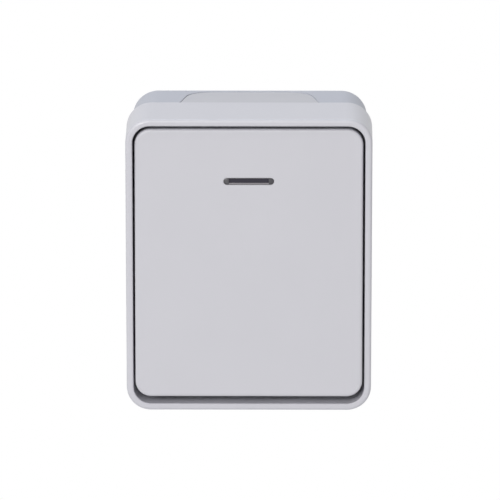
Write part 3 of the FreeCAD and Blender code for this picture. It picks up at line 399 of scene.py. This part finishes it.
def screw(head_radius, head_height, shank_radius, reach, pitch, ridge):
    """A pan-head screw along its own axis, with its seat at height 0 and the tip below."""
    def circle(radius, height):
        """A plain ring round the axis."""
        angles = [math.tau * side / SCREW_SIDES for side in range(SCREW_SIDES)]
        return [(radius * math.cos(angle), radius * math.sin(angle), height) for angle in angles]

    def threaded(height, size):
        """A ring through the thread, pushed out where the ridge winds past this height."""
        loop = []
        for side in range(SCREW_SIDES):
            turn = side / SCREW_SIDES
            crest = max(0, 1 - 2 * abs((height / pitch - turn) % 1 - 0.5) / RIDGE_FOOT)
            radius = size * (shank_radius - ridge * (1 - crest))
            angle = math.tau * turn
            loop.append((radius * math.cos(angle), radius * math.sin(angle), height))
        return loop

    point = shank_radius
    rows = int(reach / pitch * ROWS_A_TURN)
    loops = []
    for row in range(rows + 1):
        height = -reach * (1 - row / rows)
        loops.append(threaded(height, min(1, TIP + (1 - TIP) * (height + reach) / point)))
    bevel = HEAD_BEVEL * head_height
    loops += [circle(head_radius - bevel, 0), circle(head_radius, bevel)]
    crown = CROWN_HEIGHT * head_height
    for step in range(1, CROWN_STEPS):
        angle = math.radians(90) * step / CROWN_STEPS
        loops.append(circle(head_radius * (CROWN_END + (1 - CROWN_END) * math.cos(angle)),
                            head_height - crown + crown * math.sin(angle)))
    loops.append(circle(head_radius * HEAD_FLAT, head_height))
    return loft(loops)


def cut_slots(piece, slots):
    """Cuts a straight driver slot into each head; a slot is its middle and its size, in metres."""
    for middle, size in slots:
        blank = bmesh.new()
        shape = Matrix.Translation(middle) @ Matrix.Diagonal((*size, 1))
        bmesh.ops.create_cube(blank, size=1, matrix=shape)
        cutter_mesh = bpy.data.meshes.new("slot_cutter")
        blank.to_mesh(cutter_mesh)
        blank.free()
        cutter = bpy.data.objects.new("slot_cutter", cutter_mesh)
        bpy.context.scene.collection.objects.link(cutter)
        cut = piece.modifiers.new("slot", "BOOLEAN")
        cut.object = cutter
        cut.operation = "DIFFERENCE"
        evaluated = piece.evaluated_get(bpy.context.evaluated_depsgraph_get())
        shaped = bpy.data.meshes.new_from_object(evaluated)
        piece.modifiers.clear()
        piece.data = shaped
        bpy.data.objects.remove(cutter)
    piece.data.set_sharp_from_angle(angle=SMOOTH_ANGLE)


SCREW_SLOT = 0.8
# Times the head's radius, so that the slot runs right across
SLOT_LENGTH = 2.4


def make_screws(node, spots, head_radius, head_height, shank_radius, pitch, ridge):
    """Like screws at several spots, as deep as the modelled ones."""
    low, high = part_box(node)
    seat = -low.y / MM - head_height
    points, faces = screw(head_radius, head_height, shank_radius, seat + high.y / MM, pitch, ridge)
    shells = []
    slots = []
    for across, up in spots:
        shells.append(([(x + across, y + up, height + seat) for x, y, height in points], faces))
        middle = turned_out((across, up, seat + head_height))
        slots.append((middle, (SLOT_LENGTH * head_radius * MM, 2 * SCREW_SLOT * MM, SCREW_SLOT * MM)))
    piece = make_piece(node + "_threaded", shells, turned_out, zinc_steel,
                       "housing", "screw_steel", node)
    cut_slots(piece, slots)


PAN_HEAD = {"head_radius": 2.7, "head_height": 2.0, "shank_radius": 1.4}
PLASTIC_THREAD = {"pitch": 1.1, "ridge": 0.32}
cover_screw_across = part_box("cover_screws")[1].x / MM - PAN_HEAD["head_radius"]
cover_spots = [(-cover_screw_across, 0), (cover_screw_across, 0)]
make_screws("cover_screws", cover_spots, **PAN_HEAD, **PLASTIC_THREAD)

WASHER_HOLE = 1.7
washer_low, washer_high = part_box("cover_screw_seals")
washer_level = -(washer_low.y + washer_high.y) / 2 / MM
washer_thickness = (washer_high.y - washer_low.y) / MM
washer_outside = (washer_high.z - washer_low.z) / 2 / MM
washer_middle = (washer_outside + WASHER_HOLE) / 2
washer_steps = [(washer_middle + across, washer_level + high)
                for across, high in round_section(washer_outside - WASHER_HOLE, washer_thickness)]
washers = [loft(round_steps(spot, washer_steps), ring=True) for spot in cover_spots]
make_piece("cover_screw_seals_soft", washers, turned_out, epdm,
           "housing", "seal_rubber", "cover_screw_seals")

# Rocker boot
# A hood of moulded silicone snapped into the opening of the well floor. The dolly's neck passes
# through its slot, and its thin walls give way as the rocker tips.


def silicone_skin(name):
    """Milky silicone: light goes a little way in, so edges glow, and the face is soft and dry."""
    material, tree, shader, place = start_material(name, {
        "IOR": 1.43, "Subsurface Weight": 0.35, "Subsurface Scale": 1.2 * MM})
    mottle(tree, shader, place, RUBBER_PATCH, ("#D5D6D4", "#DEDFDD"))
    grain(tree, shader, place, RUBBER_PIT, RUBBER_PIT_HEIGHT, roughness=(0.42, 0.55))
    return material


BOOT_SIZE = (33.8, 27.8)
BOOT_CORNER = 3.9
BOOT_SKIN = 1.0
BOOT_FLANGE = 2.6
BOOT_BEAD = 1.3
BOOT_SLOT = (15.0, 6.2)
BOOT_EDGE, BOOT_EDGE_FALL = 0.35, 0.1
WELL_FLOOR_TOP, WELL_FLOOR_BOTTOM = 36.5, 34.5
boot_low, boot_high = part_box("rocker_boot")
boot_top = -boot_low.y / MM
boot_bottom = -boot_high.y / MM
boot_inside = boot_top - BOOT_SKIN
flange_top = WELL_FLOOR_TOP + BOOT_SKIN
boot_hood = rounded_steps(rectangle(*BOOT_SIZE), [BOOT_CORNER] * 4, [
    (-2 * BOOT_EDGE, boot_top), (-BOOT_EDGE, boot_top - BOOT_EDGE_FALL), (0, boot_top - 2 * BOOT_EDGE),
    (0, flange_top + BOOT_EDGE), (BOOT_EDGE, flange_top), (BOOT_FLANGE - BOOT_EDGE, flange_top),
    (BOOT_FLANGE, flange_top - BOOT_EDGE), (BOOT_FLANGE, WELL_FLOOR_TOP), (0, WELL_FLOOR_TOP),
    (0, WELL_FLOOR_BOTTOM), (BOOT_BEAD, WELL_FLOOR_BOTTOM), (BOOT_BEAD, boot_bottom + BOOT_EDGE),
    (BOOT_BEAD - BOOT_EDGE, boot_bottom), (-BOOT_SKIN, boot_bottom),
    (-BOOT_SKIN, boot_inside - 2 * BOOT_EDGE), (-BOOT_SKIN - 2 * BOOT_EDGE, boot_inside)])
boot_slot = rounded_steps(rectangle(*BOOT_SLOT), [BOOT_EDGE] * 4, [
    (BOOT_EDGE, boot_inside), (0, boot_inside + BOOT_EDGE), (0, boot_top - BOOT_EDGE),
    (BOOT_EDGE, boot_top)])
make_piece("rocker_boot_soft", [loft(boot_hood + boot_slot, ring=True)], turned_out,
           silicone_skin("milky_silicone"), "housing", "boot_silicone", "rocker_boot")

# Light window
# A clear plug of polycarbonate sealed into the well floor, so that the lamp behind it shines
# through to the indicator. It is moulded and polished.

POLYCARBONATE_IOR = 1.585


def clear_polycarbonate(name):
    """Polished and nearly colourless: what is behind shows through, and highlights are sharp."""
    material, tree, shader, place = start_material(name, {
        "IOR": POLYCARBONATE_IOR, "Transmission Weight": 0.9})
    mottle(tree, shader, place, FLOW_PATCH, ("#E9ECEE", "#F2F4F5"))
    grain(tree, shader, place, size_mm=2.0, height_mm=0.004, roughness=(0.06, 0.14))
    return material


dress("light_window", clear_polycarbonate("clear_polycarbonate"))

# Switch base and bearing frame
# The insulating block with the contacts, and the plate that closes it and carries the dolly.
# Both are moulded in glass-filled polyamide. Two screws hold them on posts in the box.

# A streak is between five and six times as long as wide.
STREAK_WIDTH = 1.2
STREAK_STRETCH = (1.0, 1.0, 0.18)


def glass_filled_polyamide(name):
    """Fibres near the surface leave pale streaks along the flow and a dry, slightly rough face."""
    material, tree, shader, place = start_material(name, {"IOR": 1.54})
    flow = add_node(tree, "ShaderNodeMapping", {"Scale": STREAK_STRETCH}, {"Vector": place})
    mottle(tree, shader, flow.outputs[0], STREAK_WIDTH, ("#DAD8CF", "#E4E2DA"), detail=4.0)
    grain(tree, shader, place, size_mm=0.3, height_mm=0.008, roughness=(0.45, 0.6))
    return material


polyamide = glass_filled_polyamide("glass_filled_polyamide")
dress("switch_base", polyamide)
dress("bearing_frame", polyamide)

frame_screw_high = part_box("frame_screws")[1]
frame_screw_across = frame_screw_high.x / MM - PAN_HEAD["head_radius"]
frame_screw_up = frame_screw_high.z / MM - PAN_HEAD["head_radius"]
frame_spots = [(-frame_screw_across, frame_screw_up), (frame_screw_across, -frame_screw_up)]
make_screws("frame_screws", frame_spots, **PAN_HEAD, **PLASTIC_THREAD)

# Terminals, contacts and contact bridge
# Strips stamped and folded from rolled brass lie in the base. A screw and a plated clamp plate
# hold each wire. Silver-faced rivets are the contacts, and the bridge rocks on a knife edge.

# A rolling line is twenty times as long as wide.
ROLLED_STRETCH = (1.0, 1.0, 0.05)


def rolled_brass(name):
    """Rolling leaves fine lines along the strip, and handling dulls the yellow in patches."""
    material, tree, shader, place = start_material(name, {"Metallic": 1.0})
    mottle(tree, shader, place, patch_mm=3.0, shades=("#B8964F", "#CDAE68"), detail=3.0)
    lines = add_node(tree, "ShaderNodeMapping", {"Scale": ROLLED_STRETCH}, {"Vector": place})
    grain(tree, shader, lines.outputs[0], size_mm=0.12, height_mm=0.002, roughness=(0.24, 0.4))
    return material


brass = rolled_brass("rolled_brass_strip")
for strip_node in ("common_terminal", "load_terminal", "contact_bridge"):
    dress(strip_node, brass)


def fine_silver(name):
    """A pale, soft metal that takes small dents, and greys a little where it meets the air."""
    material, tree, shader, place = start_material(name, {"Metallic": 1.0})
    mottle(tree, shader, place, patch_mm=0.8, shades=("#C9C6BF", "#E3E1DC"), detail=3.0)
    grain(tree, shader, place, size_mm=0.25, height_mm=0.004, roughness=(0.2, 0.34))
    return material


silver = fine_silver("silver_contact_rivet")
dress("fixed_contact", silver)
dress("moving_contact", silver)
dress("clamp_plates", zinc_steel)

TERMINAL_HEAD = {"head_radius": 2.6, "head_height": 2.2, "shank_radius": 1.7}
MACHINE_THREAD = {"pitch": 0.6, "ridge": 0.22}
terminal_low, terminal_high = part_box("terminal_screws")
terminal_across = terminal_high.x / MM - TERMINAL_HEAD["head_radius"]
terminal_up = (terminal_low.z + terminal_high.z) / 2 / MM
terminal_spots = [(-terminal_across, terminal_up), (terminal_across, terminal_up)]
make_screws("terminal_screws", terminal_spots, **TERMINAL_HEAD, **MACHINE_THREAD)

# Indicator lamp
# A small board of glass-epoxy laminate on the frame's shelf carries a surface-mounted lamp and its
# resistor. Two square tinned pins stand on the brass strips and are soldered into the board.

GLASS_WEAVE = 0.8


def masked_laminate(name):
    """Green solder mask over glass cloth: the weave shows as a faint check under a glossy skin."""
    material, tree, shader, place = start_material(name, {"IOR": 1.55, "Coat Weight": 0.4})
    weave = add_node(tree, "ShaderNodeTexChecker", {
        "Scale": 1 / (GLASS_WEAVE * MM), "Color1": srgb("#1F5B3C"), "Color2": srgb("#256645")},
        {"Vector": place})
    tree.links.new(weave.outputs["Color"], shader.inputs["Base Color"])
    grain(tree, shader, place, size_mm=0.4, height_mm=0.006, roughness=(0.28, 0.4))
    return material


dress("lamp_board", masked_laminate("green_masked_laminate"))


def tinned_copper(name):
    """A dip in molten tin leaves a white metal skin, bright and softly uneven."""
    material, tree, shader, place = start_material(name, {"Metallic": 1.0})
    mottle(tree, shader, place, patch_mm=0.6, shades=("#BDBEC0", "#D5D6D8"))
    grain(tree, shader, place, size_mm=0.3, height_mm=0.004, roughness=(0.22, 0.36))
    return material


tin = tinned_copper("tinned_copper")
dress("lamp_pins", tin)


def lamp_resin(name):
    """Pale yellow resin over the light source: glossy, and a little milky."""
    material, tree, shader, place = start_material(name, {
        "IOR": 1.53, "Subsurface Weight": 0.2, "Subsurface Scale": 0.5 * MM})
    mottle(tree, shader, place, patch_mm=0.8, shades=("#E6DC9C", "#F0E9BE"))
    grain(tree, shader, place, size_mm=0.5, height_mm=0.002, roughness=(0.12, 0.22))
    return material


dress("lamp", lamp_resin("lamp_resin"))


def glazed_ceramic(name):
    """A black glaze over ceramic: dark, with a clear highlight that is a little uneven."""
    material, tree, shader, place = start_material(name, {"IOR": 1.52})
    mottle(tree, shader, place, patch_mm=0.6, shades=("#1E1E20", "#2A2A2C"))
    grain(tree, shader, place, size_mm=0.3, height_mm=0.003, roughness=(0.2, 0.32))
    return material


dress("resistor", glazed_ceramic("black_glazed_resistor"))

# Dolly, plunger and spring
# The dolly is the pivot that carries the rocker, moulded in acetal, a slippery plastic. Its arm
# holds an acetal plunger, and a spring of steel wire presses the plunger onto the contact bridge.


def moulded_acetal(name):
    """White acetal has a waxy, slightly see-through look with a soft broad highlight."""
    material, tree, shader, place = start_material(name, {
        "IOR": 1.48, "Subsurface Weight": 0.2, "Subsurface Scale": 0.8 * MM})
    mottle(tree, shader, place, patch_mm=6.0, shades=("#E2E2DC", "#EAEAE5"))
    grain(tree, shader, place, size_mm=0.5, height_mm=0.004, roughness=(0.3, 0.42))
    return material


acetal = moulded_acetal("white_acetal")
dress("dolly", acetal)
dress("plunger", acetal)

rocker_hinge = next(joint for joint in frame["joints"] if joint["name"] == "rocker_hinge")
rocker_axis = Vector(rocker_hinge["pos_m"])
rest_tilt = -math.radians(rocker_hinge["range_deg"][1]) / 2
tipping = (Matrix.Translation(rocker_axis) @ Matrix.Rotation(rest_tilt, 4, Vector(rocker_hinge["axis"]))
           @ Matrix.Translation(-rocker_axis))


def tipped(point):
    """From the front drawing of the level rocker to where the tipped rocker has it."""
    return tipping @ turned_out(point)


SPRING_FAR, SPRING_NEAR = 33.6, 37.4
SPRING_WIRE = 0.5
SPRING_RADIUS = 1.5
SPRING_TURNS = 5.5
CLOSED_TURNS = 0.75
WIRE_SIDES = 10
STEPS_A_TURN = 28


def coiled_spring():
    """A wound compression spring: its end turns lie closed, and the wire is round."""
    loops = []
    steps = int(SPRING_TURNS * STEPS_A_TURN)
    free_length = SPRING_NEAR - SPRING_FAR - SPRING_WIRE
    closed_rise = CLOSED_TURNS * SPRING_WIRE
    open_rise = free_length - 2 * closed_rise
    for step in range(steps + 1):
        turn = SPRING_TURNS * step / steps
        opened = min(max((turn - CLOSED_TURNS) / (SPRING_TURNS - 2 * CLOSED_TURNS), 0), 1)
        closed = min(turn, CLOSED_TURNS) + max(turn - SPRING_TURNS + CLOSED_TURNS, 0)
        level = SPRING_FAR + SPRING_WIRE / 2 + closed * SPRING_WIRE + opened * open_rise
        angle = math.tau * turn
        loop = []
        for side in range(WIRE_SIDES):
            around = math.tau * side / WIRE_SIDES
            reach = SPRING_RADIUS + SPRING_WIRE / 2 * math.cos(around)
            loop.append((reach * math.cos(angle), reach * math.sin(angle),
                         level + SPRING_WIRE / 2 * math.sin(around)))
        loops.append(loop)
    return loft(loops)


def drawn_steel_wire(name):
    """Drawing through a die leaves a bright, slightly grey wire with a finely uneven skin."""
    material, tree, shader, place = start_material(name, {"Metallic": 1.0})
    mottle(tree, shader, place, patch_mm=0.5, shades=("#8E9094", "#A9ABAF"))
    grain(tree, shader, place, size_mm=0.15, height_mm=0.002, roughness=(0.22, 0.34))
    return material


spring_steel = drawn_steel_wire("drawn_steel_wire")
spring_piece = make_piece("plunger_spring_wound", [coiled_spring()], tipped, spring_steel,
                          "rocker", "spring_steel", "plunger_spring")
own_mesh(spring_piece)

# Rocker
# The wide key that is pressed, moulded in the same ASA as the cover and hooked over the dolly's
# neck. Its face is flat, with a small round along every edge, and a slot holds the indicator.

rocker_asa = moulded_asa("moulded_asa_rocker_grey", ("#CCCCD2", "#CFCFD5"), (0.32, 0.4))
dress("rocker", rocker_asa)

# Indicator lens
# A window of smoked polycarbonate with a light guide behind it, pressed into the rocker's slot from
# behind. The front is sunk a little below the rocker's face, with a pane sunk in its middle. The pane
# is near-black, a painted shade for the unlit guide behind it, and its lower wall is a painted highlight.

LENS_SIZE = (14.74, 1.99)
LENS_UP = 24.85
LENS_FRONT, LENS_SEAT = 50.15, 48.2
LENS_FLANGE = (16.4, 3.65)
LENS_FLANGE_BACK = 47.4
GUIDE_SIZE = (11.9, 2.05)
GUIDE_BACK = 40.2
LENS_EDGE = 0.08
PANE_WIDTH = 11.7
PANE_TOP, PANE_BOTTOM = 0.84, -0.88
PANE_DEPTH = 0.35
PANE_WALL = 0.06
PANE_SLOPE = 0.36
FULL_SHINE, SUNK_SHINE = 0.5, 0.35


def smoked_polycarbonate(name, shades, roughness, shine=FULL_SHINE):
    """Grey-tinted clear plastic with nothing lit behind it: dark, with a soft highlight that is
    weaker on the sunk pane."""
    material, tree, shader, place = start_material(name, {
        "IOR": POLYCARBONATE_IOR, "Specular IOR Level": shine})
    mottle(tree, shader, place, patch_mm=2.0, shades=shades)
    grain(tree, shader, place, size_mm=0.6, height_mm=0.001, roughness=roughness)
    return material


def pane_outline(inset, slope, level):
    """The sunk pane's outline at a level; its lower side slopes, so it rises with the depth."""
    width = PANE_WIDTH - 2 * inset
    top, bottom = PANE_TOP - inset, PANE_BOTTOM + slope
    corners = rectangle(width, top - bottom, (0, LENS_UP + (top + bottom) / 2))
    return rounded_steps(corners, [LENS_EDGE] * 4, [(0, level)])


lens_middle = (0, LENS_UP)
lens_back = rounded_steps(rectangle(*GUIDE_SIZE, lens_middle), [LENS_EDGE] * 4,
                          [(0, GUIDE_BACK), (0, LENS_FLANGE_BACK)])
lens_flange = rounded_steps(rectangle(*LENS_FLANGE, lens_middle), [LENS_EDGE] * 4,
                            [(0, LENS_FLANGE_BACK), (0, LENS_SEAT)])
lens_end = LENS_SIZE[1] / 2 - SMALLEST_ROUND
lens_rim = rounded_steps(rectangle(*LENS_SIZE, lens_middle), [lens_end] * 4, [
    (0, LENS_SEAT), (0, LENS_FRONT - LENS_EDGE), (-LENS_EDGE / 3, LENS_FRONT - LENS_EDGE / 3),
    (-LENS_EDGE, LENS_FRONT)])
lens_pane = (pane_outline(0, 0, LENS_FRONT)
             + pane_outline(PANE_WALL, PANE_SLOPE, LENS_FRONT - PANE_DEPTH))
lens_body = smoked_polycarbonate("smoked_polycarbonate", ("#3A393E", "#434247"), (0.3, 0.4))
# The sunk pane is near-black: a painted shade for the unlit light guide behind the lens.
painted_shade_pane = smoked_polycarbonate("smoked_polycarbonate_painted_shade", ("#0D071A", "#110922"), (0.3, 0.4),
                                 SUNK_SHINE)
# The pane's lower wall is rough like frosting and painted pale: a painted highlight for the light from
# above that falls on it.
frosted_painted_highlight = smoked_polycarbonate("smoked_polycarbonate_frosted_painted_highlight", ("#8E8A8E", "#989498"),
                                    (0.5, 0.65))
lens_piece = make_piece("indicator_lens_smoked", [loft(lens_back + lens_flange + lens_rim + lens_pane)],
                        tipped, lens_body, "rocker", "smoked_plastic", "indicator_lens")
for finish in (painted_shade_pane, frosted_painted_highlight):
    lens_piece.data.materials.append(finish)

# The pane's floor is the last face. The guide's back comes before it, and before that the pane's walls.
PAINTED_SHADE, FROSTED_PAINTED_HIGHLIGHT = 1, 2
UP_FACING = 0.4
# The pane's floor takes the painted shade.
pane_floor = len(lens_piece.data.polygons) - 1
lens_piece.data.polygons[pane_floor].material_index = PAINTED_SHADE
pane_walls = range(pane_floor - 1 - len(lens_pane[0]), pane_floor - 1)
# The pane's walls that face upwards take the pale painted highlight.
for index in pane_walls:
    wall = lens_piece.data.polygons[index]
    if wall.normal.z > UP_FACING:
        wall.material_index = FROSTED_PAINTED_HIGHLIGHT

# Floor
# A plain floor in pale, dead matt studio paint. It lies well below the part, so that the soft shadow
# falls out of the picture.

FLOOR_DROP = 0.3
FLOOR_HALF = 0.6
FLOOR_PATCH = 60.0

floor_mesh = bpy.data.meshes.new("studio_floor")
floor_corners = [(-FLOOR_HALF, -FLOOR_HALF), (FLOOR_HALF, -FLOOR_HALF), (FLOOR_HALF, FLOOR_HALF),
                 (-FLOOR_HALF, FLOOR_HALF)]
floor_mesh.from_pydata([(*corner, -FLOOR_DROP) for corner in floor_corners], [], [(0, 1, 2, 3)])
floor = bpy.data.objects.new("studio_floor", floor_mesh)
bpy.context.scene.collection.objects.link(floor)
floor_paint, floor_tree, floor_shader, floor_place = start_material(
    "pale_studio_paint", {"Roughness": 0.9})
mottle(floor_tree, floor_shader, floor_place, FLOOR_PATCH, ("#F0F0F0", "#F4F4F4"))
floor_mesh.materials.append(floor_paint)

# Light
# A white surround, a strong soft lamp above and left of the camera, a wide one overhead on the left,
# one high behind that is a little cooler, like daylight from a window, and a weak one that fills the
# shade on the right.

scene = bpy.context.scene
scene.view_settings.view_transform = "Standard"
SURROUND_LIGHT = 0.22
surround = bpy.data.worlds.new("white_surround")
surround.use_nodes = True
scene.world = surround
sky = surround.node_tree
sky_light = sky.nodes["Background"]
sky_light.inputs["Color"].default_value = (1, 1, 1, 1)
ray = add_node(sky, "ShaderNodeLightPath", {}, {})
seen = add_node(sky, "ShaderNodeMath", {"operation": "ADD"},
                {0: ray.outputs["Is Camera Ray"], 1: ray.outputs["Is Glossy Ray"]})
seen_through = add_node(sky, "ShaderNodeMath", {"operation": "ADD", "use_clamp": True},
                        {0: seen.outputs[0], 1: ray.outputs["Is Transmission Ray"]})
strength = add_node(sky, "ShaderNodeMapRange", {"To Min": SURROUND_LIGHT, "To Max": 1.0},
                    {"Value": seen_through.outputs[0]})
sky.links.new(strength.outputs[0], sky_light.inputs["Strength"])


def add_lamp(name, watts, tint, size, place):
    """A square soft lamp that faces the part; sizes and places in metres."""
    light = bpy.data.lights.new(name, "AREA")
    light.energy = watts
    light.color = srgb(tint)[:3]
    light.size = size
    lamp = bpy.data.objects.new(name, light)
    bpy.context.scene.collection.objects.link(lamp)
    lamp.location = place
    lamp.rotation_euler = Vector(place).to_track_quat("Z", "Y").to_euler()


add_lamp("front_lamp", watts=24.5, tint="#FFFDFC", size=0.7, place=(-0.5, -1.85, 0.66))
add_lamp("top_lamp", watts=7.9, tint="#F8FAFF", size=1.2, place=(-0.6, -0.3, 1.4))
add_lamp("back_lamp", watts=4.3, tint="#DDE7FF", size=0.9, place=(0.0, 1.0, 1.3))
add_lamp("side_lamp", watts=2.2, tint="#F8FAFF", size=0.8, place=(1.6, 0.3, 0.0))

# Camera
# A long lens, a little above the middle of the switch and almost square to it, at the viewing angle
# of the photograph.

CAMERA_AIM = Vector((0.34, -50.0, 4.85)) * MM
CAMERA_RISE = math.radians(12.876)
CAMERA_TURN = math.radians(0.35)
CAMERA_DISTANCE = 1.2616
CAMERA_LENS = 310.4
CAMERA_SENSOR = 36.0

camera_data = bpy.data.cameras.new("camera")
camera_data.lens = CAMERA_LENS
camera_data.sensor_width = CAMERA_SENSOR
camera = bpy.data.objects.new("camera", camera_data)
scene.collection.objects.link(camera)
level_reach = math.cos(CAMERA_RISE)
backwards = Vector((level_reach * math.sin(CAMERA_TURN), -level_reach * math.cos(CAMERA_TURN),
                    math.sin(CAMERA_RISE)))
camera.location = CAMERA_AIM + backwards * CAMERA_DISTANCE
camera.rotation_euler = backwards.to_track_quat("Z", "Y").to_euler()
scene.camera = camera
